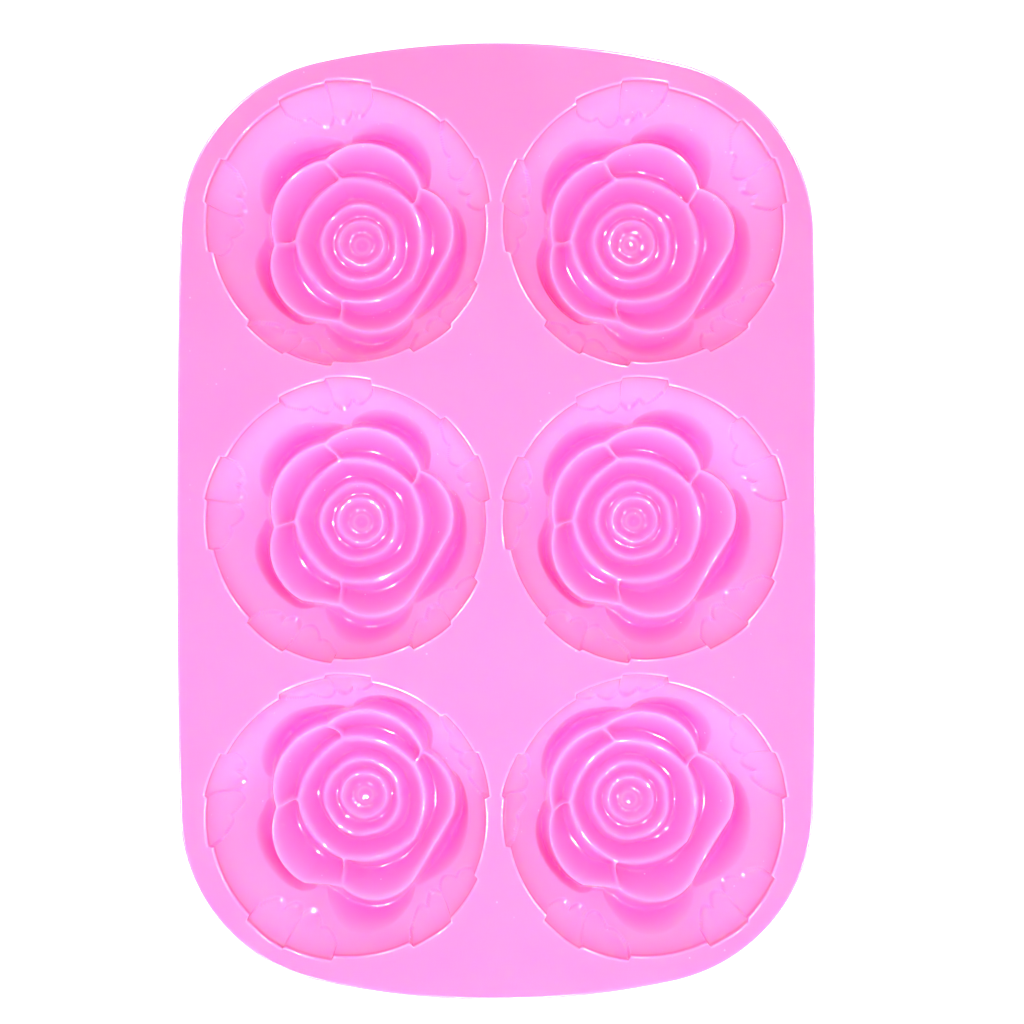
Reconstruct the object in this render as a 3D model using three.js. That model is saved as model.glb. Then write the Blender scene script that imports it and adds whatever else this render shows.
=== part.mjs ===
// Silicone soap mould: a flat deck with six rose-shaped cups hanging under it.
// Millimetres, +Z up. The origin is on the supporting surface, under the middle of the deck.
// The deck lies across X (short way) and Y (long way), and the mould stands on the cups' feet.
import * as THREE from "three";

// Cups
const COLUMNS = 2;
const ROWS = 3;
const MOUTH_RADIUS = 37.8;
const ROSE_DEPTH = 30; // deck face to the bowl's lowest point, before the petals
const FLOOR = 4; // silicone under that point
const WALL = 2; // silicone between the inside and the outside of a cup
const GROOVE_WALL = 1.8; // added outward and downward round the outer grooves
const FOOT_LIFT = 1.5; // how far the outer bowl would pass below the flat foot
const WEB = 3.6; // deck left between two mouths
const JOINT_GAP = 0.3; // between neighbouring cups, where their walls meet

// Deck
const SIDE_MARGIN = 8.6; // deck from a mouth to the middle of a long side
const END_MARGIN = 11.4; // deck from a mouth to the end's farthest point
const DECK_THICKNESS = 2;
const END_RADIUS = 225; // the short ends are shallow arcs
const SIDE_RADIUS = 4300; // the long sides bow out very slightly
const CORNER_RADIUS = 48; // joins each end to each side
const RIM_ROUND = 0.6; // chamfer that stands for the rounded top edges

// Five serrated leaves are sunk into the wall under the mouth
const LEAF_COUNT = 5;
const LEAF_START = 28; // degrees, middle of the first leaf
const LEAF_HALF_SPAN = 19.5; // degrees
const LEAF_RECESS = 1.6; // how far a leaf is sunk into the wall
const LEAF_STEP = 0.8; // how much less its nearer half is sunk
const LEAF_EDGE = 1.4; // height of a leaf's sloping lower edge
const LEAF_GAP = 0.8; // wall left between that edge and the outer petals

// The rose is drawn for this bowl, and follows the bowl's real size
const PATTERN_RADIUS = 37.8;
const PATTERN_DEPTH = 30;
const SPREAD = MOUTH_RADIUS / PATTERN_RADIUS;
const STRETCH = ROSE_DEPTH / PATTERN_DEPTH;

// Petal rings, from the bud outward. Each corner is [degrees, radius, bow to the next corner].
// Along a ring the surface stands up as a crease, and drops into a groove just outside it.
// ridge: height of the crease above the bowl. groove: depth below the bowl. step: crease to groove.
const PETAL_RINGS = [
  {
    corners: [[20, 6.4, 0.2], [92, 6.5, 0.2], [164, 6.3, 0.2], [236, 5.6, 0.2], [308, 5.8, 0.2]],
    ridge: 0.7,
    groove: 0.6,
    step: 1.2,
  },
  {
    corners: [[4, 10.2, 0.3], [57, 10.6, 0.4], [132, 10.8, 0.4], [209, 10.6, 0.4], [282, 10.4, 0.4]],
    ridge: 0.8,
    groove: 0.7,
    step: 1.5,
  },
  {
    corners: [[34, 18.4, -0.9], [106, 18.4, -1.2], [179, 18, -0.8], [253, 17.4, -0.8], [324, 18.7, -0.6]],
    ridge: 1.4,
    groove: 0.8,
    step: 1.8,
  },
  {
    corners: [[39, 23.2, 3.2], [112, 24.2, 1.6], [184, 23.6, 1.6], [236, 26.9, -0.6], [259, 24.2, 2],
      [307, 26.6, -2.1], [352, 26.7, 2.3]],
    ridge: 1.6,
    step: 2,
  },
];

// Outer petals: deep crescent grooves outside the last ring. [from, to, groove radius, depth below
// the bowl], with the angles in degrees.
const OUTER_PETALS = [
  [38, 92, 29.6, 4.2],
  [98, 163, 28.8, 4.2],
  [178, 242, 27.2, 3.2],
  [252, 302, 30.4, 4],
  [306, 378, 29.2, 3.8],
];

const GROOVE_END = 0.7; // below 1 makes the ends of these grooves blunter

// Sizes that follow from the ones above
const HEIGHT = ROSE_DEPTH + FLOOR; // deck face above the supporting surface
const PITCH = 2 * MOUTH_RADIUS + LEAF_RECESS + WEB; // between cup centres, both ways
const WIDTH = (COLUMNS - 1) * PITCH + 2 * (MOUTH_RADIUS + SIDE_MARGIN); // along X
const LENGTH = (ROWS - 1) * PITCH + 2 * (MOUTH_RADIUS + END_MARGIN); // along Y

// Fineness of the surfaces
const CORNER_STEPS = 10;
const END_STEPS = 8;
const PLAIN_STEPS = 4; // points around the wall between two leaves
const LEAF_STEPS = 3; // points around each half of a leaf
const LEAF_SIDE = 0.9; // degrees taken by a leaf's side

const radians = THREE.MathUtils.degToRad;
const lerp = THREE.MathUtils.lerp;
const turn = (degrees) => THREE.MathUtils.euclideanModulo(degrees, 360);

// Soft bump: 1 in the middle of the span, 0 at its two ends.
function swell(degrees, from, to) {
  const t = turn(degrees - from) / (to - from);
  return t < 1 ? Math.sin(Math.PI * t) ** GROOVE_END : 0;
}

// Radius of a petal ring at an angle: straight from corner to corner, plus the bow.
function ringRadius(ring, degrees) {
  const corners = ring.corners;
  const last = corners.length - 1;
  const index = corners.findIndex((corner, i) => {
    const next = corners[i < last ? i + 1 : 0][0];
    return turn(degrees - corner[0]) < turn(next - corner[0]);
  });
  const [angle, radius, bow] = corners[index];
  const [nextAngle, nextRadius] = corners[index < last ? index + 1 : 0];
  const t = turn(degrees - angle) / turn(nextAngle - angle);
  return SPREAD * (lerp(radius, nextRadius, t) + 4 * bow * t * (1 - t));
}

// The bowl that the petals are modelled on, as depth below the deck face at a radius, and back.
const bowlDepth = (radius) => ROSE_DEPTH * Math.sqrt(Math.max(0, 1 - (radius / MOUTH_RADIUS) ** 2));
const bowlRadius = (depth) => MOUTH_RADIUS * Math.sqrt(Math.max(0, 1 - (depth / ROSE_DEPTH) ** 2));

// How far the wall is sunk outward at an angle by the leaf there.
function leafRecess(degrees) {
  const spacing = 360 / LEAF_COUNT;
  const offset = turn(degrees - LEAF_START + spacing / 2) % spacing - spacing / 2;
  const side = THREE.MathUtils.clamp((LEAF_HALF_SPAN - Math.abs(offset)) / LEAF_SIDE, 0, 1);
  const over = THREE.MathUtils.clamp(offset / LEAF_SIDE + 0.5, 0, 1);
  return side * (LEAF_RECESS - LEAF_STEP * over);
}

// The angles at which a cup's surface has its points: close together at the leaves' sides.
function cupAngles() {
  const angles = [];
  const spacing = 360 / LEAF_COUNT;
  for (let leaf = 0; leaf < LEAF_COUNT; leaf++) {
    const middle = LEAF_START + leaf * spacing;
    const start = middle - LEAF_HALF_SPAN;
    const end = middle + LEAF_HALF_SPAN;
    const half = LEAF_SIDE / 2;
    const stretches = [
      [start + LEAF_SIDE, middle - half, LEAF_STEPS],
      [middle + half, end - LEAF_SIDE, LEAF_STEPS],
      [end, start + spacing, PLAIN_STEPS],
    ];
    for (const [from, to, steps] of stretches) {
      for (let i = 0; i < steps; i++) angles.push(lerp(from, to, i / (steps - 1)));
    }
  }
  return angles;
}

// The inside of a cup at one angle, from the underside of the deck down to the last groove
// around the bud. Each station is [radius, depth below the deck face].
function insideStations(degrees) {
  const recess = leafRecess(degrees);
  const outerRing = PETAL_RINGS[PETAL_RINGS.length - 1];
  const crease = ringRadius(outerRing, degrees);
  const plainRadius = crease + SPREAD * outerRing.step;
  let grooveRadius = plainRadius;
  let grooveDepth = bowlDepth(plainRadius);
  for (const [from, to, radius, depth] of OUTER_PETALS) {
    const amount = swell(degrees, from, to);
    const middleRadius = SPREAD * radius;
    const middleDepth = bowlDepth(middleRadius) + STRETCH * depth;
    grooveRadius += amount * (middleRadius - plainRadius);
    grooveDepth += amount * (middleDepth - bowlDepth(plainRadius));
  }
  const leafFootRadius = SPREAD * Math.max(...OUTER_PETALS.map((petal) => petal[2])) + LEAF_GAP;
  const leafFoot = bowlDepth(leafFootRadius);
  const leafEdge = leafFoot - LEAF_EDGE;
  const wallMiddle = (DECK_THICKNESS + leafEdge) / 2;
  const stations = [
    [bowlRadius(DECK_THICKNESS) + recess, DECK_THICKNESS],
    [bowlRadius(wallMiddle) + recess, wallMiddle],
    [bowlRadius(leafEdge) + recess, leafEdge],
    [leafFootRadius, leafFoot],
    [grooveRadius, grooveDepth],
    [crease, bowlDepth(crease) - STRETCH * outerRing.ridge],
  ];
  for (const ring of PETAL_RINGS.slice(0, -1).reverse()) {
    const radius = ringRadius(ring, degrees);
    const outside = radius + SPREAD * ring.step;
    stations.push([outside, bowlDepth(outside) + STRETCH * ring.groove]);
    stations.push([radius, bowlDepth(radius) - STRETCH * ring.ridge]);
  }
  return stations;
}

// The outside of a cup at one angle, from the foot up to the underside of the deck.
function outsideStations(degrees) {
  const reach = MOUTH_RADIUS + WALL;
  const drop = HEIGHT + FOOT_LIFT;
  const outerDepth = (radius) => drop * Math.sqrt(Math.max(0, 1 - (radius / reach) ** 2));
  const outerRadius = (depth) => reach * Math.sqrt(Math.max(0, 1 - (depth / drop) ** 2));
  const inside = insideStations(degrees);
  const [wallTop, wallMiddle, leafEdge, , groove] = inside;
  const footRadius = outerRadius(HEIGHT);
  const shoulder = lerp(footRadius, groove[0], 0.5);
  const grooveRadius = groove[0] + GROOVE_WALL;
  const edgeDepth = leafEdge[1] + GROOVE_WALL;
  return [
    [footRadius, HEIGHT],
    [shoulder, outerDepth(shoulder)],
    [grooveRadius, Math.max(outerDepth(grooveRadius), groove[1] + GROOVE_WALL)],
    [Math.max(outerRadius(edgeDepth), leafEdge[0] + GROOVE_WALL), edgeDepth],
    [wallMiddle[0] + WALL, wallMiddle[1]],
    [wallTop[0] + WALL, wallTop[1]],
  ];
}

// How far a cup may reach each way before it meets its neighbour. A mouth has a leaf on its left
// and back and none opposite, so the border runs midway between the two mouths' edges.
const HALF_PITCH = (PITCH - JOINT_GAP) / 2;
const BORDER_SHIFT = LEAF_RECESS / 2;
const BORDER_X = [-HALF_PITCH - BORDER_SHIFT, HALF_PITCH - BORDER_SHIFT];
const BORDER_Y = [-HALF_PITCH + BORDER_SHIFT, HALF_PITCH + BORDER_SHIFT];

function pointAt([radius, depth], degrees) {
  const x = radius * Math.cos(radians(degrees));
  const y = radius * Math.sin(radians(degrees));
  return [x, y, HEIGHT - depth];
}

function keptInBorder([x, y, z]) {
  return [THREE.MathUtils.clamp(x, ...BORDER_X), THREE.MathUtils.clamp(y, ...BORDER_Y), z];
}

function meshOf(name, points, faces, material) {
  const geometry = new THREE.BufferGeometry();
  geometry.setAttribute("position", new THREE.Float32BufferAttribute(points.flat(), 3));
  geometry.setIndex(faces.flat());
  geometry.computeVertexNormals();
  const mesh = new THREE.Mesh(geometry, material);
  mesh.name = name;
  return mesh;
}

// Joins two loops of points, given by their first indices, with a strip of triangles.
function strip(faces, first, second, count) {
  for (let i = 0; i < count; i++) {
    const j = (i + 1) % count;
    faces.push([first + i, first + j, second + j], [first + i, second + j, second + i]);
  }
}

// One cup: loops of points from the bud, up the inside, across the joint face under the deck,
// down the outside and in to the middle of the foot.
function cupMesh(name, material) {
  const angles = cupAngles();
  const count = angles.length;
  const inside = angles.map((a) => insideStations(a).reverse().map((s) => pointAt(s, a)));
  const outside = angles.map((a) => outsideStations(a).reverse().map((s) => keptInBorder(pointAt(s, a))));
  const points = [[0, 0, HEIGHT - ROSE_DEPTH]];
  const loops = [];
  for (const side of [inside, outside]) {
    for (let station = 0; station < side[0].length; station++) {
      loops.push(points.length);
      side.forEach((line) => points.push(line[station]));
    }
  }
  const foot = points.push([0, 0, 0]) - 1;
  const faces = [];
  for (let i = 0; i < count; i++) {
    const j = (i + 1) % count;
    faces.push([0, loops[0] + i, loops[0] + j]);
    faces.push([foot, loops.at(-1) + j, loops.at(-1) + i]);
  }
  for (let k = 1; k < loops.length; k++) strip(faces, loops[k], loops[k - 1], count);
  return meshOf(name, points, faces, material);
}

// Where two circles meet, on the side of the first quadrant.
function circlesMeet([ax, ay], ra, [bx, by], rb) {
  const dx = bx - ax;
  const dy = by - ay;
  const gap = Math.hypot(dx, dy);
  const along = (ra * ra - rb * rb + gap * gap) / (2 * gap);
  const across = Math.sqrt(ra * ra - along * along);
  const meets = [1, -1].map((sign) => [
    ax + (along * dx - sign * across * dy) / gap,
    ay + (along * dy + sign * across * dx) / gap,
  ]);
  return meets.find(([x, y]) => x > 0 && y > 0);
}

// The deck's outline, counter-clockwise: side, corner and end arcs that run into each other,
// drawn for one quarter and mirrored. inset moves it inward.
function deckOutline(inset) {
  const sideCentre = [WIDTH / 2 - SIDE_RADIUS, 0];
  const endCentre = [0, LENGTH / 2 - END_RADIUS];
  const sideReach = SIDE_RADIUS - CORNER_RADIUS;
  const endReach = END_RADIUS - CORNER_RADIUS;
  const corner = circlesMeet(sideCentre, sideReach, endCentre, endReach);
  const from = Math.atan2(corner[1] - sideCentre[1], corner[0] - sideCentre[0]);
  const to = Math.atan2(corner[1] - endCentre[1], corner[0] - endCentre[0]);
  const quarter = [[WIDTH / 2 - inset, 0]];
  for (let i = 0; i <= CORNER_STEPS; i++) {
    const a = lerp(from, to, i / CORNER_STEPS);
    const r = CORNER_RADIUS - inset;
    quarter.push([corner[0] + r * Math.cos(a), corner[1] + r * Math.sin(a)]);
  }
  for (let i = 1; i <= END_STEPS; i++) {
    const a = lerp(to, Math.PI / 2, i / END_STEPS);
    const r = END_RADIUS - inset;
    quarter.push([endCentre[0] + r * Math.cos(a), endCentre[1] + r * Math.sin(a)]);
  }
  const right = [...quarter, ...quarter.slice(0, -1).reverse().map(([x, y]) => [-x, y])];
  return [...right, ...right.slice(1, -1).reverse().map(([x, y]) => [x, -y])];
}

const cupPlaces = [];
for (let row = 0; row < ROWS; row++) {
  for (let column = 0; column < COLUMNS; column++) {
    const x = (column - (COLUMNS - 1) / 2) * PITCH;
    const y = (row - (ROWS - 1) / 2) * PITCH;
    cupPlaces.push({ row, column, x, y });
  }
}

// A mouth's outline, clockwise, as a hole in the deck. widen moves it outward.
function mouthOutline(place, widen) {
  const wall = bowlRadius(DECK_THICKNESS);
  return cupAngles().reverse().map((degrees) => {
    const [x, y] = pointAt([wall + leafRecess(degrees) + widen, 0], degrees);
    return [place.x + x, place.y + y];
  });
}

// The deck: the same loops of points at each level, with straight sides and a chamfered top edge.
function deckMesh(name, material) {
  const levels = [
    [HEIGHT - DECK_THICKNESS, 0],
    [HEIGHT - RIM_ROUND, 0],
    [HEIGHT, RIM_ROUND],
  ];
  const points = [];
  const faces = [];
  const starts = [];
  const caps = [];
  for (const [z, inset] of levels) {
    const loops = [deckOutline(inset), ...cupPlaces.map((place) => mouthOutline(place, inset))];
    starts.push(loops.map((loop) => {
      const start = points.length;
      loop.forEach(([x, y]) => points.push([x, y, z]));
      return [start, loop.length];
    }));
    const [contour, ...holes] = loops.map((loop) => loop.map(([x, y]) => new THREE.Vector2(x, y)));
    caps.push(THREE.ShapeUtils.triangulateShape(contour, holes));
  }
  const top = levels.length - 1;
  const bottomStart = starts[0][0][0];
  const topStart = starts[top][0][0];
  caps[0].forEach(([a, b, c]) => faces.push([bottomStart + a, bottomStart + c, bottomStart + b]));
  caps[top].forEach(([a, b, c]) => faces.push([topStart + a, topStart + b, topStart + c]));
  for (let level = 0; level < top; level++) {
    starts[level].forEach(([start, length], i) => strip(faces, start, starts[level + 1][i][0], length));
  }
  return meshOf(name, points, faces, material);
}

const silicone = () => new THREE.MeshStandardMaterial({ color: 0xff8fe0, roughness: 0.32, metalness: 0 });

const mould = new THREE.Group();
mould.add(deckMesh("deck", silicone()));
const rowNames = ["front", "middle", "back"];
const columnNames = ["left", "right"];
for (const { row, column, x, y } of cupPlaces) {
  const cup = cupMesh("rose_cup_" + rowNames[row] + "_" + columnNames[column], silicone());
  cup.position.set(x, y, 0);
  mould.add(cup);
}

export default mould;
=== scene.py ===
"""Silicone rose soap mould: a flat pink deck and six rose-shaped cups.

Shapes are worked out in millimetres on the cup's own axes, with depth counted down from the
deck's face, and turned into metres as each mesh is made.
"""
import math

import bpy
import numpy as np
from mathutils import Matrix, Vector
from mathutils.geometry import tessellate_polygon


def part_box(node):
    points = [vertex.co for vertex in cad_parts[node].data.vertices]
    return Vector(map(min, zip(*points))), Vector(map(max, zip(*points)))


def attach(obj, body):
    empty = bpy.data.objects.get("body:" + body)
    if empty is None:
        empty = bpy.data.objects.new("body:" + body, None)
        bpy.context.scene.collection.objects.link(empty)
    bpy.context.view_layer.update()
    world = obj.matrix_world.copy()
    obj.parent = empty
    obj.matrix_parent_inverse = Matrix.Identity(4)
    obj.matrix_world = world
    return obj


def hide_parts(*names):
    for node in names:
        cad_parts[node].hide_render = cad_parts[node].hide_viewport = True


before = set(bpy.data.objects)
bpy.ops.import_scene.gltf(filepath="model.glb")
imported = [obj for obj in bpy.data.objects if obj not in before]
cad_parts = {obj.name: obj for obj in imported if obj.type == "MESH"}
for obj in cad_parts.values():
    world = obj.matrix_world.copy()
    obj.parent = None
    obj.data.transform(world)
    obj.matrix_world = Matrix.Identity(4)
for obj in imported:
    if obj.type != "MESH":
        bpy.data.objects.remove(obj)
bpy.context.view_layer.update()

MM = 0.001

# ---------------------------------------------------------------- sizes of the mould, mm
MOUTH_RADIUS = 37.4
ROSE_DEPTH = 29.2
WALL = 2.0
FOOT_LIFT = 1.5  # how far under the foot the outside's curve would close
BORDER_SHIFT = 0.8  # the border between two cups lies this far off the middle
BORDER_GAP = 0.3  # between two neighbouring cups
LIP_ROUND = 0.55  # rounded edge of a mouth
RIM_ROUND = 0.5  # rounded edge of the deck
ROUND_MARGIN = 0.25  # flat strip of the deck's face beside a rounded edge
UNDER_BEVEL = ((0.0, 0.4), (0.12, 0.12), (0.4, 0.0))  # deck's lower edge: height, inset
END_RADIUS = 225.0
SIDE_RADIUS = 4300.0
CORNER_RADIUS = 48.0

# ---------------------------------------------------------------- the rose
# Petal rings from the bud outward: corners are (degrees, radius, bow to the next corner).
# height: how far the crease stands up from the bowl. trough: depth of the hollow outside it.
# floor: where across the hollow its lowest line lies. seams: degrees from which and to which a
# ridge crosses the hollow, where one petal ends and the next begins.
RINGS = (
    dict(corners=((20, 6.4, .2), (92, 6.5, .2), (164, 6.3, .2), (236, 5.6, .2), (308, 5.8, .2)),
         height=1.7, trough=2.4, seams=(), floor=0.40),
    dict(corners=((4, 10.2, .3), (57, 10.6, .4), (132, 10.8, .4), (209, 10.6, .4), (282, 10.4, .4)),
         height=1.9, trough=3.8, seams=(), floor=0.36),
    dict(corners=((34, 18.4, -.9), (106, 18.4, -1.2), (179, 18, -.8), (253, 17.4, -.8),
                  (324, 18.7, -.6)),
         height=2.6, trough=5.0, floor=0.34,
         seams=((34, 40), (106, 113), (179, 184), (253, 259))),
    dict(corners=((39, 23.2, 3.2), (112, 24.2, 1.6), (184, 23.6, 1.6), (236, 26.9, -.6),
                  (259, 24.2, 2), (307, 26.6, -2.1), (352, 26.7, 2.3)),
         height=2.6),
)
# Outer petals, whose rims are deep crescent grooves: (from, to, outer radius, depth).
OUTER_PETALS = (
    (37, 93, 33.2, 5.2),
    (98, 164, 32.4, 5.4),
    (178, 243, 30.4, 5.0),
    (250, 304, 34.6, 4.4),
    (306, 379, 32.2, 5.2),
)
CREASE_WIDTH = 0.95
SEAM_WIDTH = 0.6
SEAM_HEIGHT = 0.7  # share of the hollow's depth
BUD_RADIUS = 2.2
BUD_HEIGHT = 0.38
BUD_WIDTH = 0.55
GROOVE_END = 2.0  # how far past the last ring the groove ends between outer petals
GROOVE_FLOOR = 0.46

# How far the soft cups lean at the foot, in mm along X and Y.
ROSE_LEANS = {
    "rose_cup_back_left": (1.2, -0.3),
    "rose_cup_back_right": (-1.5, -0.3),
    "rose_cup_middle_left": (0.9, -0.2),
    "rose_cup_middle_right": (-0.5, 0.2),
    "rose_cup_front_left": (2.2, 1.1),
    "rose_cup_front_right": (-1.9, -0.3),
}

# Five leaves of three lobes each. Along its lower edge a leaf runs from point to point, and each
# lobe bulges down between two of them: (degrees off the leaf's middle, depth, bulge to the next).
LEAF_COUNT = 5
LEAF_START = 28.0
LEAF_HALF_SPAN = 19.5
LEAF_EDGE = ((-19.5, 7.0, 4.2), (-9.5, 12.0, 3.2), (-0.5, 13.0, 3.6), (10.5, 11.5, 2.6),
             (19.5, 7.0, 0))
LEAF_LAP = -0.5  # here one half of the leaf lies over the other
LEAF_SUNK = (1.3, 2.1)  # depth of the two halves in the wall
LEAF_TIP_RISE = 0.6  # how much less the deeper half is sunk at its far end
LEAF_FOOT = 0.5  # share of that depth left at a leaf's lower edge
LEAF_EDGE_SHADE = 0.9  # painted shade: how deep the pink is along a leaf's edge, as a share of a hollow's
LEAF_SIDE = 0.5  # width of a leaf's sloping edge

# ---------------------------------------------------------------- fineness of the meshes
COLUMNS = 480
BAND_ROWS = (12, 11, 16, 20, 18, 84)  # rows in each band between the creases, then up the wall
OUTER_ROWS = 40
ARC_STEPS = 6
LIP_ROWS = 3
OUTLINE_STEPS = (12, 28, 20)  # along a quarter's side, corner and end
SHARP_DEGREES = 40


def smooth(x):
    """0 below 0, 1 above 1, with an even slope between."""
    x = np.clip(x, 0.0, 1.0)
    return x * x * (3 - 2 * x)


def turned(degrees):
    """Degrees brought between -180 and 180."""
    return (degrees + 180.0) % 360.0 - 180.0


def ring_radius(corners, degrees):
    """Radius of a petal ring: from corner to corner, plus the bow."""
    radius = np.zeros_like(degrees)
    for k, (angle, start, bow) in enumerate(corners):
        next_angle, end, _ = corners[(k + 1) % len(corners)]
        span = (next_angle - angle) % 360
        t = ((degrees - angle) % 360) / span
        here = t < 1
        radius = np.where(here, start + (end - start) * t + 4 * bow * t * (1 - t), radius)
    return radius


def bowl_depth(radius):
    return ROSE_DEPTH * np.sqrt(np.clip(1 - (radius / MOUTH_RADIUS) ** 2, 0, None))


def bowl_radius(depth):
    return MOUTH_RADIUS * np.sqrt(np.clip(1 - (depth / ROSE_DEPTH) ** 2, 0, None))


def hollow(u, floor):
    """A petal's hollow: 0 at its crease, 1 on its floor, then a gentle rise to 0 at the next crease."""
    drop = smooth(u / floor)
    rise = 1 - np.sin(np.pi / 2 * np.clip((u - floor) / (1 - floor), 0, 1) ** 1.4)
    return np.where(u < floor, drop, rise)


def leaf_sink(degrees, depth):
    """How far the wall is sunk outward by the leaves, at an angle and a depth, and how near it is to
    the edge of a leaf."""
    spacing = 360 / LEAF_COUNT
    offset = (degrees - LEAF_START + spacing / 2) % spacing - spacing / 2
    side = LEAF_SIDE * 57.3 / MOUTH_RADIUS  # as degrees round the mouth
    lower = np.zeros_like(offset)
    for (start, low, bulge), (end, high, _) in zip(LEAF_EDGE, LEAF_EDGE[1:]):
        t = np.clip((offset - start) / (end - start), 0, 1)
        lobe = low + (high - low) * t + bulge * np.sin(np.pi * t) ** 0.6
        lower = np.where((offset >= start) & (offset <= end), lobe, lower)
    lapped = smooth((LEAF_LAP - offset) / side + 0.5)
    sunk = LEAF_SUNK[0] + (LEAF_SUNK[1] - LEAF_SUNK[0]) * lapped
    sunk = sunk - LEAF_TIP_RISE * smooth((LEAF_LAP - offset) / LEAF_HALF_SPAN)
    up = 1 - np.clip(depth / np.maximum(lower, 1), 0, 1)
    sunk = sunk * (LEAF_FOOT + (1 - LEAF_FOOT) * np.sqrt(up))
    edge = smooth((LEAF_HALF_SPAN - np.abs(offset)) / side + 0.5)
    below = smooth((lower - depth) / (1.4 * LEAF_SIDE) + 0.5)
    outline = np.maximum(4 * below * (1 - below) * edge, 4 * edge * (1 - edge) * below)
    middle = 4 * lapped * (1 - lapped) * edge * below
    return edge * below * sunk, np.maximum(outline, middle)


def seam_ridge(degrees, seams, u, radius):
    """1 along a seam between two petals, fading to 0 within a millimetre."""
    ridge = np.zeros_like(radius)
    for start, end in seams:
        across = np.radians(turned(degrees - start - (end - start) * u)) * radius
        ridge = np.maximum(ridge, np.exp(-(across / SEAM_WIDTH) ** 2))
    return ridge


def swell(degrees, start, end, bluntness=0.7):
    t = ((degrees - start) % 360) / (end - start)
    return np.where(t < 1, np.sin(np.pi * np.clip(t, 0, 1)) ** bluntness, 0.0)


def inside_surface():
    """The inside of a cup, from the bud to the joint: at every row and column its radius, its depth,
    how near it is to a crease or seam, and how low it lies in a hollow."""
    degrees = np.linspace(0, 360, COLUMNS, endpoint=False)[None, :]
    creases = [ring_radius(ring["corners"], degrees) for ring in RINGS]
    last = creases[-1]
    outer_edge = last + GROOVE_END
    sunk = np.zeros_like(last)
    for start, end, outer, depth in OUTER_PETALS:
        amount = swell(degrees, start, end)
        outer_edge = outer_edge + amount * (outer - last - GROOVE_END)
        sunk = sunk + amount * depth
    # ridges and hollows become masks for the colour: a painted highlight along creases, a painted shade
    # low in the hollows
    radii, lifts, ridges, hollows = [], [], [], []
    # bud
    rows = BAND_ROWS[0]
    for j in range(1, rows):
        u = j / rows
        r = creases[0] * u
        lift = -RINGS[0]["height"] * u ** 3 + 0.8 * smooth(2 * u) * (1 - u ** 3)
        bud_rim = np.exp(-((r - BUD_RADIUS) / BUD_WIDTH) ** 2)
        lift = lift - BUD_HEIGHT * bud_rim
        radii.append(r)
        lifts.append(lift)
        # painted highlight: the bud's rim and the creases count as ridges, paler in colour
        ridges.append(np.maximum(0.7 * bud_rim, np.exp(-((creases[0] - r) / CREASE_WIDTH) ** 2)))
        hollows.append(0.5 * hollow(np.full_like(r, u), 0.5))
    # the petal rings
    for k in range(len(RINGS) - 1):
        ring, outer_ring = RINGS[k], RINGS[k + 1]
        rows = BAND_ROWS[k + 1]
        for j in range(rows):
            u = j / rows
            r = creases[k] + (creases[k + 1] - creases[k]) * u
            base = -(ring["height"] * (1 - u) + outer_ring["height"] * u)
            ridge = seam_ridge(degrees, ring["seams"], u, r)
            dip = ring["trough"] * hollow(np.full_like(r, u), ring["floor"])
            radii.append(r)
            lifts.append(base + dip * (1 - SEAM_HEIGHT * ridge))
            gap = np.minimum(r - creases[k], creases[k + 1] - r)
            ridges.append(np.maximum(np.exp(-(gap / CREASE_WIDTH) ** 2), ridge))
            hollows.append(dip / ring["trough"] * (1 - ridge))
    # the deep grooves outside the last ring
    rows = BAND_ROWS[4]
    for j in range(rows):
        u = j / rows
        r = last + (outer_edge - last) * u
        shape = hollow(np.full_like(r, u), GROOVE_FLOOR) ** 0.7
        radii.append(r)
        lifts.append(-RINGS[-1]["height"] * (1 - u) + (sunk + RINGS[-1]["height"] * 0.6) * shape)
        ridges.append(np.exp(-((r - last) / CREASE_WIDTH) ** 2))
        hollows.append(shape * np.clip(0.3 * sunk, 0, 1.5))
    radius = np.vstack(radii)
    depth = bowl_depth(radius) + np.vstack(lifts)
    # the wall, up to the joint under the deck
    rows = BAND_ROWS[5]
    angle_low = np.arccos(bowl_depth(outer_edge) / ROSE_DEPTH)
    angle_top = math.acos(DECK_THICKNESS / ROSE_DEPTH)
    steps = np.arange(rows + 1)[:, None] / rows
    angle = angle_low + (angle_top - angle_low) * steps
    wall_depth = ROSE_DEPTH * np.cos(angle)
    wall_radius = MOUTH_RADIUS * np.sin(angle)
    radius = np.vstack((radius, wall_radius))
    depth = np.vstack((depth, wall_depth))
    radius, depth = softened(radius, depth, 1)
    wall = np.zeros_like(wall_radius)
    sink, leaf_edge = leaf_sink(degrees, depth)
    ridge = np.vstack(ridges + [wall])
    # painted shade also along the leaves' edges
    low = np.maximum(np.vstack(hollows + [wall]), LEAF_EDGE_SHADE * leaf_edge)
    radius = radius + sink
    depth[-1] = DECK_THICKNESS
    return degrees, radius, depth, ridge, low


def softened(radius, depth, times):
    """Rounds creases and grooves a little, along each column."""
    for _ in range(times):
        inner_r = (radius[:-2] + 2 * radius[1:-1] + radius[2:]) / 4
        inner_d = (depth[:-2] + 2 * depth[1:-1] + depth[2:]) / 4
        radius = np.vstack((radius[:1], inner_r, radius[-1:]))
        depth = np.vstack((depth[:1], inner_d, depth[-1:]))
    return radius, depth


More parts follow.
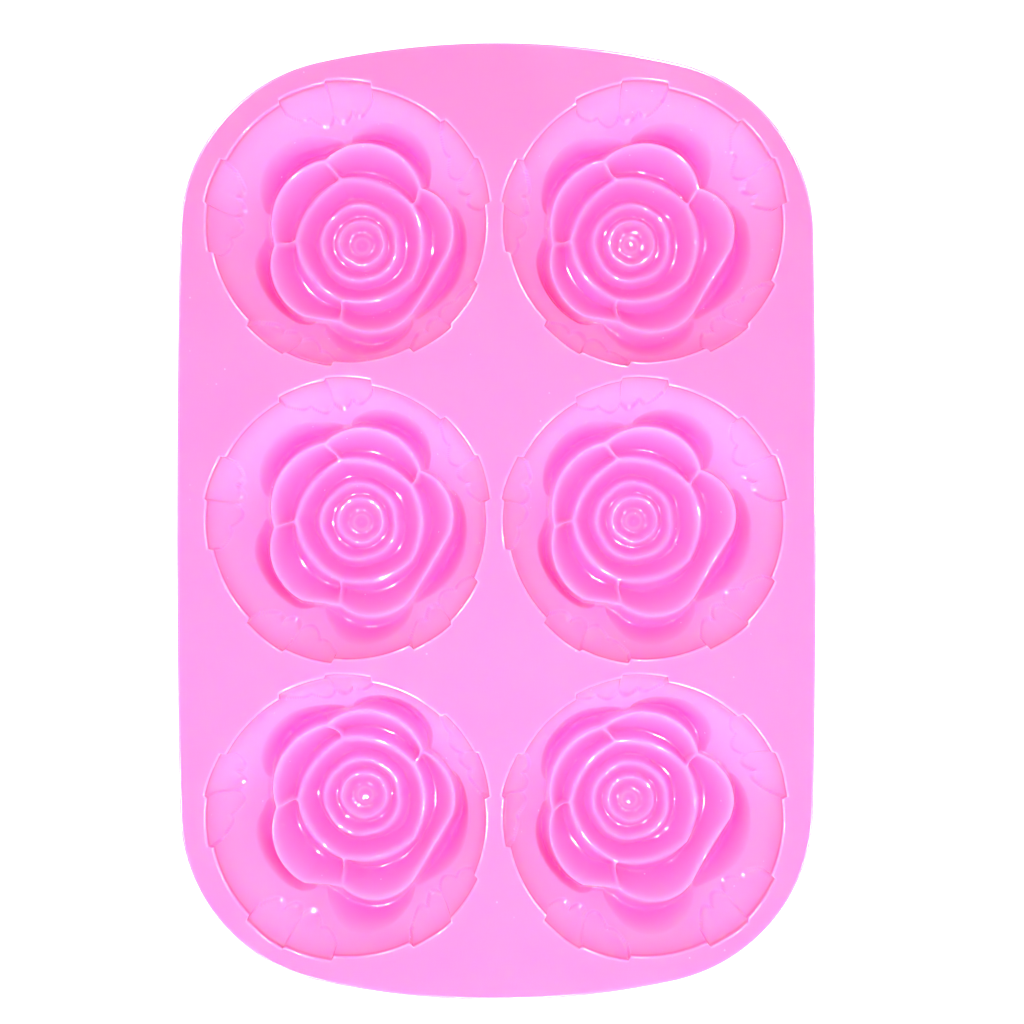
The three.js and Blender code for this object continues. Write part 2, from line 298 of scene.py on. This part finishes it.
def outside_surface(degrees, inside_radius, inside_depth):
    """The outside of a cup, from the foot up to the underside of the deck."""
    reach = MOUTH_RADIUS + WALL
    drop = HEIGHT + FOOT_LIFT
    foot_radius = reach * math.sqrt(1 - (HEIGHT / drop) ** 2)
    angle_low = math.asin(foot_radius / reach)
    angle_top = math.acos(DECK_THICKNESS / drop)
    steps = np.arange(OUTER_ROWS + 1)[:, None] / OUTER_ROWS
    angle = (angle_low + (angle_top - angle_low) * steps) * np.ones_like(degrees)
    radius = reach * np.sin(angle)
    depth = drop * np.cos(angle)
    # pushed out wherever the inside comes closer than the wall's thickness
    out_r, out_d = np.sin(angle) / reach, np.cos(angle) / drop
    size = np.hypot(out_r, out_d)
    out_r, out_d = out_r / size, out_d / size
    push = np.zeros_like(radius)
    for column in range(COLUMNS):
        gap_r = inside_radius[:, column][None, :] - radius[:, column][:, None]
        gap_d = inside_depth[:, column][None, :] - depth[:, column][:, None]
        along = gap_r * out_r[:, column][:, None] + gap_d * out_d[:, column][:, None]
        aside = np.hypot(gap_r, gap_d) ** 2 - along ** 2
        reach_out = along + np.sqrt(np.clip(WALL ** 2 - aside, 0, None))
        near = aside < WALL ** 2
        push[:, column] = np.where(near, reach_out, 0).max(axis=1)
    push = np.clip(push, 0, None)
    for _ in range(6):
        push = (np.roll(push, 1, 1) + 2 * push + np.roll(push, -1, 1)) / 4
        middle = (push[:-2] + 2 * push[1:-1] + push[2:]) / 4
        push = np.vstack((push[:1], middle, push[-1:]))
    push[0] = 0
    radius = radius + push * out_r
    depth = np.minimum(depth + push * out_d, HEIGHT)
    depth[0] = HEIGHT
    depth[-1] = DECK_THICKNESS
    return radius, depth


def mesh_piece(name, points, faces, values=None):
    mesh = bpy.data.meshes.new(name)
    mesh.from_pydata([tuple(p) for p in points], [], faces)
    mesh.validate()
    piece = bpy.data.objects.new(name, mesh)
    bpy.context.scene.collection.objects.link(piece)
    mesh.shade_smooth()
    for key, numbers in (values or {}).items():
        layer = mesh.attributes.new(key, "FLOAT", "POINT")
        layer.data.foreach_set("value", numbers.astype(np.float32))
    return piece


def strip(first, second, count):
    """Quads between two loops of points, given by their first indices."""
    i = np.arange(count)
    j = (i + 1) % count
    return np.stack((first + i, first + j, second + j, second + i), axis=1).tolist()


def sharpen(piece):
    """Marks the edges of the flat joint faces sharp, so that the smooth skin isn't shaded by them."""
    piece.data.set_sharp_from_angle(angle=math.radians(SHARP_DEGREES))


def cup_arrays():
    """Points in mm on the cup's own axes with Z up from the foot, and the faces that join them."""
    degrees, in_r, in_d, ridge, low = inside_surface()
    out_r, out_d = outside_surface(degrees, in_r, in_d)
    turn = np.radians(degrees)
    points = [np.array([[0, 0, HEIGHT - ROSE_DEPTH]])]
    loops = []
    count = 1
    for radius, depth in ((in_r, in_d), (out_r[::-1], out_d[::-1])):
        for r, d in zip(radius, depth):
            x, y = r * np.cos(turn[0]), r * np.sin(turn[0])
            if radius is not in_r:
                x = np.clip(x, *BORDER_X)
                y = np.clip(y, *BORDER_Y)
            points.append(np.stack((x, y, HEIGHT - d), axis=1))
            loops.append(count)
            count += COLUMNS
    points.append(np.array([[0, 0, 0]]))
    faces = []
    i = np.arange(COLUMNS)
    j = (i + 1) % COLUMNS
    faces += np.stack((0 * i, loops[0] + i, loops[0] + j), axis=1).tolist()
    for a, b in zip(loops, loops[1:]):
        faces += strip(b, a, COLUMNS)
    faces += np.stack((0 * i + count, loops[-1] + j, loops[-1] + i), axis=1).tolist()
    # The centre point gets a little painted highlight and painted shade; the outside gets neither.
    outside = np.zeros(len(out_r) * COLUMNS + 1)
    ridge = np.concatenate(([0.3], ridge.ravel(), outside))
    low = np.concatenate(([0.3], low.ravel(), outside))
    return np.vstack(points), faces, in_r[-1], {"ridge": ridge, "hollow": low}


def circles_meet(a, ra, b, rb):
    """Where two circles meet, in the first quadrant."""
    gap = (b - a).length
    along = (ra * ra - rb * rb + gap * gap) / (2 * gap)
    across = math.sqrt(ra * ra - along * along)
    way = (b - a) / gap
    side = Vector((-way.y, way.x))
    return max((a + way * along + side * across, a + way * along - side * across),
               key=lambda p: min(p.x, p.y))


def deck_outline(inset):
    """The deck's outline, counter-clockwise, moved inward by inset."""
    side_centre = Vector((WIDTH / 2 - SIDE_RADIUS, 0))
    end_centre = Vector((0, LENGTH / 2 - END_RADIUS))
    corner = circles_meet(side_centre, SIDE_RADIUS - CORNER_RADIUS,
                          end_centre, END_RADIUS - CORNER_RADIUS)
    start = math.atan2(corner.y - side_centre.y, corner.x - side_centre.x)
    end = math.atan2(corner.y - end_centre.y, corner.x - end_centre.x)
    side_steps, corner_steps, end_steps = OUTLINE_STEPS
    quarter = []
    for a in np.linspace(0, start, side_steps, endpoint=False):
        r = SIDE_RADIUS - inset
        quarter.append((side_centre.x + r * math.cos(a), r * math.sin(a)))
    for a in np.linspace(start, end, corner_steps, endpoint=False):
        r = CORNER_RADIUS - inset
        quarter.append((corner.x + r * math.cos(a), corner.y + r * math.sin(a)))
    for a in np.linspace(end, math.pi / 2, end_steps):
        r = END_RADIUS - inset
        quarter.append((r * math.cos(a), end_centre.y + r * math.sin(a)))
    quarter = np.array(quarter)
    half = np.vstack((quarter, quarter[-2::-1] * (-1, 1)))
    return np.vstack((half, half[-2:0:-1] * (1, -1)))


def deck_piece(mouth_radius):
    """The deck: rounded outer edge, rounded mouths, flat faces between them."""
    turn = np.linspace(0, 2 * math.pi, COLUMNS, endpoint=False)
    way = np.stack((np.cos(turn), np.sin(turn)), axis=1)
    sink, _ = leaf_sink(np.degrees(turn), np.zeros(COLUMNS))
    top, under = HEIGHT, HEIGHT - DECK_THICKNESS

    def rounded(size):
        """A rounded edge's levels: height, and how far in from the edge."""
        arc = np.linspace(0, math.pi / 2, ARC_STEPS + 1)
        levels = [(top - size + size * math.sin(a), size - size * math.cos(a)) for a in arc]
        return levels + [(top, size + ROUND_MARGIN)]

    outer = [(under + rise, inset) for rise, inset in UNDER_BEVEL] + rounded(RIM_ROUND)
    straight = np.linspace(under, top - LIP_ROUND, LIP_ROWS + 1)[:-1]
    mouth = [(z, 0.0) for z in straight] + rounded(LIP_ROUND)
    points, faces, edges = [], [], []
    total = 0
    boundary_low, boundary_top = [], []

    def add_loop(xy, z, rounding):
        nonlocal total
        points.append(np.column_stack((xy, np.full(len(xy), z))))
        # painted highlight and worn gloss on the deck's rounded edges
        edges.append(np.full(len(xy), EDGE_HIGHLIGHT_AND_WEAR if rounding else 0.0))
        total += len(xy)
        return total - len(xy)

    starts = [add_loop(deck_outline(inset), z, 0 < inset <= RIM_ROUND and z > top - RIM_ROUND)
              for z, inset in outer]
    edge_count = len(deck_outline(0))
    for a, b in zip(starts, starts[1:]):
        faces.extend(strip(a, b, edge_count))
    boundary_low.append((starts[0], edge_count))
    boundary_top.append((starts[-1], edge_count))
    for centre in CUP_CENTRES.values():
        starts = []
        for z, widen in mouth:
            depth = top - z
            radius = bowl_radius(depth) + sink + widen
            if z == under:
                radius = mouth_radius
            rounding = 0 < widen <= LIP_ROUND
            starts.append(add_loop(np.array(centre) + way * radius[:, None], z, rounding))
        for a, b in zip(starts, starts[1:]):
            faces.extend(strip(b, a, COLUMNS))
        boundary_low.append((starts[0], COLUMNS))
        boundary_top.append((starts[-1], COLUMNS))
    points = np.vstack(points)
    for loops, flip in ((boundary_low, True), (boundary_top, False)):
        index = np.concatenate([np.arange(start, start + count) for start, count in loops])
        outlines = [[Vector(p) for p in points[start:start + count]] for start, count in loops]
        for face in tessellate_polygon(outlines):
            ids = [int(index[i]) for i in face]
            a, b, c = (points[i] for i in ids)
            up = (b[0] - a[0]) * (c[1] - a[1]) - (b[1] - a[1]) * (c[0] - a[0])
            if (up > 0) == flip:
                ids.reverse()
            faces.append(ids)
    return mesh_piece("silicone_deck", points * MM, faces, {"ridge": np.concatenate(edges)})


# ---------------------------------------------------------------- colours, light and camera
# Pinks of the silicone, linear. A pair is the two ends of the pigment's drift.
CUP_PINKS = ((1.0, 0.187, 0.595), (1.0, 0.218, 0.625))
# Painted light: the cups' upper walls turn paler towards the deck, as where more light falls, and stay
# deeper pink lower down.
UPPER_LIGHT_PINK = (1.0, 0.38, 0.69)
UPPER_LIGHT_TINT = 0.85  # painted light: how far the upper wall turns to a paler pink, as where more light falls
UPPER_LIGHT_FADE = (0.1, 0.75)  # from and to which share of the height
DECK_PINKS = ((1.0, 0.254, 0.585), (1.0, 0.278, 0.61))
# Painted shade: deeper pink low in the hollows and grooves and along the leaves' edges.
SHADE_PINK = (1.0, 0.115, 0.57)
# Painted highlight: paler pink along creases, the bud's rim and rounded edges, as where light glows
# through thin ridges.
HIGHLIGHT_PINK = (1.0, 0.60, 0.78)
LINT = (1.0, 0.72, 0.93)
HOLLOW_SHADE_TINT = 0.46  # painted shade: how far a hollow turns to the deep pink, and a ridge to the pale pink, a painted highlight
RIDGE_HIGHLIGHT_TINT = 0.33
LINT_TINT = 0.35
LINT_DULLING = 0.3
EDGE_HIGHLIGHT_AND_WEAR = 0.45  # how far the deck's rounded edges count as ridges: a painted highlight in the colour, and dulled gloss
LIGHT_REACH = (1.0, 0.3, 0.8)  # how far red, green and blue light go into silicone
LIGHT_REACH_SCALE = 0.003

LIGHT_COLOUR = (1.0, 0.88, 0.89)
WORLD_STRENGTH = 0.34
FLOOR_GLOW = 0.5
# A softbox over the mould, in metres and watts.
KEY = dict(place=(0, -0.04, 0.36), aim=(0, 0, 0), size=0.26, watts=1.35)
# Large softboxes low round the mould: (degrees round from +X, watts).
SOFTBOXES = ((-90, 6.2), (0, 2.4), (180, 2.4), (90, 1.4))
SOFTBOX_REACH = 1.0
SOFTBOX_HEIGHT = 0.5
SOFTBOX_SIZE = 0.4
# Small lamps round the mould, which only glint: (degrees round from +X, height in metres).
LAMPS = ((5, 1.1), (44, 1.0), (72, 1.2), (128, 1.1), (152, 1.0), (207, 1.1), (246, 1.0),
         (272, 1.15), (327, 1.05))
LAMP_REACH = 0.72
LAMP_SIZE = 0.08
LAMP_WATTS = 16
CAMERA_HEIGHT = 0.385  # over the deck, in metres
LENS = 49.85
SHIFT = (0.0151, 0.0093)

# ---------------------------------------------------------------- places from the frame
deck_low, deck_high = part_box("deck")
HEIGHT = deck_high.z / MM
DECK_THICKNESS = (deck_high.z - deck_low.z) / MM
WIDTH = (deck_high.x - deck_low.x) / MM
LENGTH = (deck_high.y - deck_low.y) / MM
CUP_NAMES = sorted(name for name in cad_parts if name.startswith("rose_cup_"))
CUP_CENTRES = {}
for name in CUP_NAMES:
    low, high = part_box(name)
    x = (low.x + high.x) / 2 / MM + BORDER_SHIFT
    y = (low.y + high.y) / 2 / MM - BORDER_SHIFT
    CUP_CENTRES[name] = (x, y)
xs = sorted({round(x, 2) for x, _ in CUP_CENTRES.values()})
PITCH = xs[-1] - xs[0]
BORDER_REACH = PITCH / 2 - BORDER_GAP / 2
BORDER_X = (-BORDER_REACH - BORDER_SHIFT, BORDER_REACH - BORDER_SHIFT)
BORDER_Y = (-BORDER_REACH + BORDER_SHIFT, BORDER_REACH + BORDER_SHIFT)


# ---------------------------------------------------------------- materials
def group(name, inputs, outputs):
    """An empty shader node group with named value sockets."""
    tree = bpy.data.node_groups.new(name, "ShaderNodeTree")
    for socket, value in inputs:
        new = tree.interface.new_socket(socket, in_out="INPUT", socket_type="NodeSocketFloat")
        new.default_value = value
    for socket in outputs:
        tree.interface.new_socket(socket, in_out="OUTPUT", socket_type="NodeSocketFloat")
    return tree, tree.nodes.new("NodeGroupInput"), tree.nodes.new("NodeGroupOutput")


def math_node(tree, operation, a, b, clamp=False):
    """A Math node, whose inputs are sockets or plain numbers."""
    node = tree.nodes.new("ShaderNodeMath")
    node.operation = operation
    node.use_clamp = clamp
    for socket, value in zip(node.inputs, (a, b)):
        if isinstance(value, (int, float)):
            socket.default_value = value
        else:
            tree.links.new(value, socket)
    return node.outputs[0]


def noise(tree, scale, detail, roughness=0.5, stretch=(1, 1, 1)):
    """Noise in the piece's own space. Scale is a socket or a number, per metre."""
    place = tree.nodes.new("ShaderNodeTexCoord")
    mapping = tree.nodes.new("ShaderNodeMapping")
    mapping.inputs["Scale"].default_value = stretch
    tree.links.new(place.outputs["Object"], mapping.inputs["Vector"])
    node = tree.nodes.new("ShaderNodeTexNoise")
    tree.links.new(mapping.outputs["Vector"], node.inputs["Vector"])
    node.inputs["Detail"].default_value = detail
    node.inputs["Roughness"].default_value = roughness
    if isinstance(scale, (int, float)):
        node.inputs["Scale"].default_value = scale
    else:
        tree.links.new(scale, node.inputs["Scale"])
    return node.outputs[0]


def ramp(tree, value, low, high):
    """0 at low and 1 at high."""
    node = tree.nodes.new("ShaderNodeMapRange")
    node.interpolation_type = "SMOOTHSTEP"
    tree.links.new(value, node.inputs["Value"])
    node.inputs["From Min"].default_value = low
    node.inputs["From Max"].default_value = high
    return node.outputs[0]


def cast_skin_group():
    """The faint uneven skin of cast silicone: soft orange peel with a finer grain on it."""
    inputs = (("Peel Scale", 260.0), ("Grain Scale", 1900.0), ("Grain", 0.3))
    tree, given, out = group("cast_skin", inputs, ("Height",))
    peel = noise(tree, given.outputs["Peel Scale"], 2.0)
    grain = noise(tree, given.outputs["Grain Scale"], 4.0, 0.6)
    grain = math_node(tree, "MULTIPLY", grain, given.outputs["Grain"])
    tree.links.new(math_node(tree, "ADD", peel, grain), out.inputs["Height"])
    return tree


def pigment_group():
    """Slow drift of the pigment through the casting, with faint swirls where it was poured."""
    tree, given, out = group("pigment_drift", (("Scale", 14.0), ("Amount", 0.5)), ("Drift",))
    cloud = noise(tree, given.outputs["Scale"], 3.0, 0.55)
    swirl = noise(tree, 60.0, 5.0, 0.6, (1.0, 0.35, 1.0))
    cloud = math_node(tree, "MULTIPLY", cloud, 0.75)
    swirl = math_node(tree, "MULTIPLY", swirl, 0.25)
    both = math_node(tree, "ADD", cloud, swirl)
    centred = math_node(tree, "SUBTRACT", both, 0.5)
    drift = math_node(tree, "MULTIPLY", centred, given.outputs["Amount"])
    tree.links.new(math_node(tree, "ADD", drift, 0.5), out.inputs["Drift"])
    return tree


def handling_group():
    """Where hands and cloths have dulled the gloss: smears, and rubbed patches between them."""
    tree, given, out = group("handling_marks", (("Amount", 0.1),), ("Dullness",))
    smear = ramp(tree, noise(tree, 45.0, 4.0, 0.65, (1.0, 0.22, 1.0)), 0.50, 0.72)
    patch = ramp(tree, noise(tree, 18.0, 3.0), 0.45, 0.70)
    smear = math_node(tree, "MULTIPLY", smear, 0.6)
    patch = math_node(tree, "MULTIPLY", patch, 0.4)
    dull = math_node(tree, "ADD", smear, patch)
    tree.links.new(math_node(tree, "MULTIPLY", dull, given.outputs["Amount"]), out.inputs["Dullness"])
    return tree


def dust_group():
    """Specks of lint and soap dust, which silicone holds on to, each a fraction of a millimetre."""
    tree, given, out = group("clinging_dust", (("Scale", 420.0), ("Cover", 0.12)), ("Specks",))
    place = tree.nodes.new("ShaderNodeTexCoord")
    cells = tree.nodes.new("ShaderNodeTexVoronoi")
    tree.links.new(place.outputs["Object"], cells.inputs["Vector"])
    tree.links.new(given.outputs["Scale"], cells.inputs["Scale"])
    speck = ramp(tree, cells.outputs["Distance"], 0.16, 0.05)
    pick = tree.nodes.new("ShaderNodeSeparateColor")
    tree.links.new(cells.outputs["Color"], pick.inputs["Color"])
    chosen = math_node(tree, "LESS_THAN", pick.outputs["Red"], given.outputs["Cover"])
    tree.links.new(math_node(tree, "MULTIPLY", speck, chosen), out.inputs["Specks"])
    return tree


SKIN, PIGMENT, HANDLING, DUST = cast_skin_group(), pigment_group(), handling_group(), dust_group()


def place_group(tree, source, **values):
    node = tree.nodes.new("ShaderNodeGroup")
    node.node_tree = source
    for key, value in values.items():
        node.inputs[key.replace("_", " ")].default_value = value
    return node


def blend(tree, factor, a, b):
    """One colour over another. Colours are sockets or (r, g, b)."""
    node = tree.nodes.new("ShaderNodeMix")
    node.data_type = "RGBA"
    tree.links.new(factor, node.inputs[0])
    for socket, colour in ((node.inputs[6], a), (node.inputs[7], b)):
        if isinstance(colour, tuple):
            socket.default_value = (*colour, 1)
        else:
            tree.links.new(colour, socket)
    return node.outputs[2]


def silicone(name, pinks, upper_light_tint, gloss, edge_dulling, dulling, dust_cover, skin_depth):
    """Pink silicone with light and shade painted into its colour: paler towards the rim (painted light)
    and along creases (painted highlight), and deeper low in the hollows (painted shade).
    """
    material = bpy.data.materials.new(name)
    material.use_nodes = True
    tree = material.node_tree
    shader = tree.nodes["Principled BSDF"]
    drift = place_group(tree, PIGMENT, Scale=14.0, Amount=0.55).outputs["Drift"]
    colour = blend(tree, drift, *pinks)
    place = tree.nodes.new("ShaderNodeTexCoord")
    axes = tree.nodes.new("ShaderNodeSeparateXYZ")
    tree.links.new(place.outputs["Object"], axes.inputs["Vector"])
    # painted light: the colour turns paler towards the top of the cup
    upper_light = ramp(tree, axes.outputs["Z"], *(share * HEIGHT * MM for share in UPPER_LIGHT_FADE))
    colour = blend(tree, math_node(tree, "MULTIPLY", upper_light, upper_light_tint), colour, UPPER_LIGHT_PINK)
    # painted shade: deeper pink low in the hollows
    hollow_mask = tree.nodes.new("ShaderNodeAttribute")
    hollow_mask.attribute_name = "hollow"
    hollow_shade = math_node(tree, "MULTIPLY", hollow_mask.outputs["Fac"], HOLLOW_SHADE_TINT, clamp=True)
    colour = blend(tree, hollow_shade, colour, SHADE_PINK)
    # painted highlight: paler pink along creases and rounded edges
    ridge_mask = tree.nodes.new("ShaderNodeAttribute")
    ridge_mask.attribute_name = "ridge"
    ridge_highlight = math_node(tree, "MULTIPLY", ridge_mask.outputs["Fac"], RIDGE_HIGHLIGHT_TINT, clamp=True)
    colour = blend(tree, ridge_highlight, colour, HIGHLIGHT_PINK)
    specks = place_group(tree, DUST, Cover=dust_cover).outputs["Specks"]
    colour = blend(tree, math_node(tree, "MULTIPLY", specks, LINT_TINT), colour, LINT)
    tree.links.new(colour, shader.inputs["Base Color"])
    dullness = place_group(tree, HANDLING, Amount=dulling).outputs["Dullness"]
    worn = math_node(tree, "MULTIPLY", ridge_mask.outputs["Fac"], edge_dulling)
    rough = math_node(tree, "MULTIPLY", specks, LINT_DULLING)
    rough = math_node(tree, "ADD", math_node(tree, "ADD", rough, worn), dullness)
    tree.links.new(math_node(tree, "ADD", rough, gloss), shader.inputs["Roughness"])
    bump = tree.nodes.new("ShaderNodeBump")
    bump.inputs["Strength"].default_value = 1.0
    bump.inputs["Distance"].default_value = skin_depth
    tree.links.new(place_group(tree, SKIN).outputs["Height"], bump.inputs["Height"])
    tree.links.new(bump.outputs["Normal"], shader.inputs["Normal"])
    shader.inputs["Subsurface Weight"].default_value = 1.0
    shader.inputs["Subsurface Radius"].default_value = LIGHT_REACH
    shader.inputs["Subsurface Scale"].default_value = LIGHT_REACH_SCALE
    return material


# ---------------------------------------------------------------- stage, lights and camera
def build_stage():
    mesh = bpy.data.meshes.new("floor")
    reach = 3.0
    corners = [(-reach, -reach, 0), (reach, -reach, 0), (reach, reach, 0), (-reach, reach, 0)]
    mesh.from_pydata(corners, [], [(0, 1, 2, 3)])
    floor = bpy.data.objects.new("floor", mesh)
    floor.location.z = -0.0003
    bpy.context.scene.collection.objects.link(floor)
    material = bpy.data.materials.new("white_floor")
    material.use_nodes = True
    shader = material.node_tree.nodes["Principled BSDF"]
    shader.inputs["Base Color"].default_value = (0.96, 0.96, 0.96, 1)
    shader.inputs["Roughness"].default_value = 0.8
    shader.inputs["Emission Color"].default_value = (1, 1, 1, 1)
    shader.inputs["Emission Strength"].default_value = FLOOR_GLOW
    mesh.materials.append(material)


def area_light(name, place, aim, size, watts):
    light = bpy.data.lights.new(name, "AREA")
    light.shape = "DISK"
    light.size = size
    light.energy = watts
    light.color = LIGHT_COLOUR
    lamp = bpy.data.objects.new(name, light)
    lamp.location = place
    lamp.rotation_euler = (Vector(aim) - Vector(place)).to_track_quat("-Z", "Y").to_euler()
    bpy.context.scene.collection.objects.link(lamp)
    return lamp


def round_mould(turn, reach):
    """Place at an angle round the mould, in degrees from +X, and at a distance."""
    return reach * math.cos(math.radians(turn)), reach * math.sin(math.radians(turn))


def build_light():
    world = bpy.data.worlds.new("studio")
    bpy.context.scene.world = world
    world.use_nodes = True
    background = world.node_tree.nodes["Background"]
    background.inputs["Color"].default_value = (*LIGHT_COLOUR, 1)
    background.inputs["Strength"].default_value = WORLD_STRENGTH
    key = area_light("softbox_over", **KEY)
    key.visible_glossy = False
    for k, (turn, watts) in enumerate(SOFTBOXES):
        place = (*round_mould(turn, SOFTBOX_REACH), SOFTBOX_HEIGHT)
        side = area_light(f"softbox_{k}", place, (0, 0, 0.03), SOFTBOX_SIZE, watts)
        side.visible_glossy = False
    for k, (turn, height) in enumerate(LAMPS):
        place = (*round_mould(turn, LAMP_REACH), height)
        lamp = area_light(f"lamp_{k}", place, (0, 0, 0), LAMP_SIZE, LAMP_WATTS)
        lamp.visible_diffuse = False
    bpy.context.scene.view_settings.view_transform = "Standard"


def build_camera():
    camera = bpy.data.cameras.new("camera")
    camera.lens = LENS
    camera.sensor_width = 36
    camera.shift_x, camera.shift_y = SHIFT
    seen = bpy.data.objects.new("camera", camera)
    seen.location = (0, 0, HEIGHT * MM + CAMERA_HEIGHT)
    bpy.context.scene.collection.objects.link(seen)
    bpy.context.scene.camera = seen


# ---------------------------------------------------------------- the mould
build_camera()
cup_silicone = silicone("glossy_pink_silicone", CUP_PINKS, UPPER_LIGHT_TINT, gloss=0.07,
                        edge_dulling=0.0, dulling=0.05, dust_cover=0.05, skin_depth=0.000010)
deck_silicone = silicone("satin_pink_silicone", DECK_PINKS, 0.0, gloss=0.09,
                         edge_dulling=0.12, dulling=0.07, dust_cover=0.05, skin_depth=0.000016)
cup_points, cup_faces, joint_radius, cup_values = cup_arrays()
below_deck = np.clip((HEIGHT - DECK_THICKNESS - cup_points[:, 2]) / ROSE_DEPTH, 0, 1)[:, None]
for name, (x, y) in CUP_CENTRES.items():
    leaning = cup_points + below_deck ** 1.5 * (*ROSE_LEANS[name], 0)
    leaning[:, 0] = np.clip(leaning[:, 0], *BORDER_X)
    leaning[:, 1] = np.clip(leaning[:, 1], *BORDER_Y)
    cup = mesh_piece("silicone_" + name, (leaning + (x, y, 0)) * MM, cup_faces, cup_values)
    sharpen(cup)
    cup.data.materials.append(cup_silicone)
    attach(cup, "root")
    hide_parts(name)
deck = deck_piece(joint_radius)
sharpen(deck)
deck.data.materials.append(deck_silicone)
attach(deck, "root")
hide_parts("deck")
build_stage()
build_light()
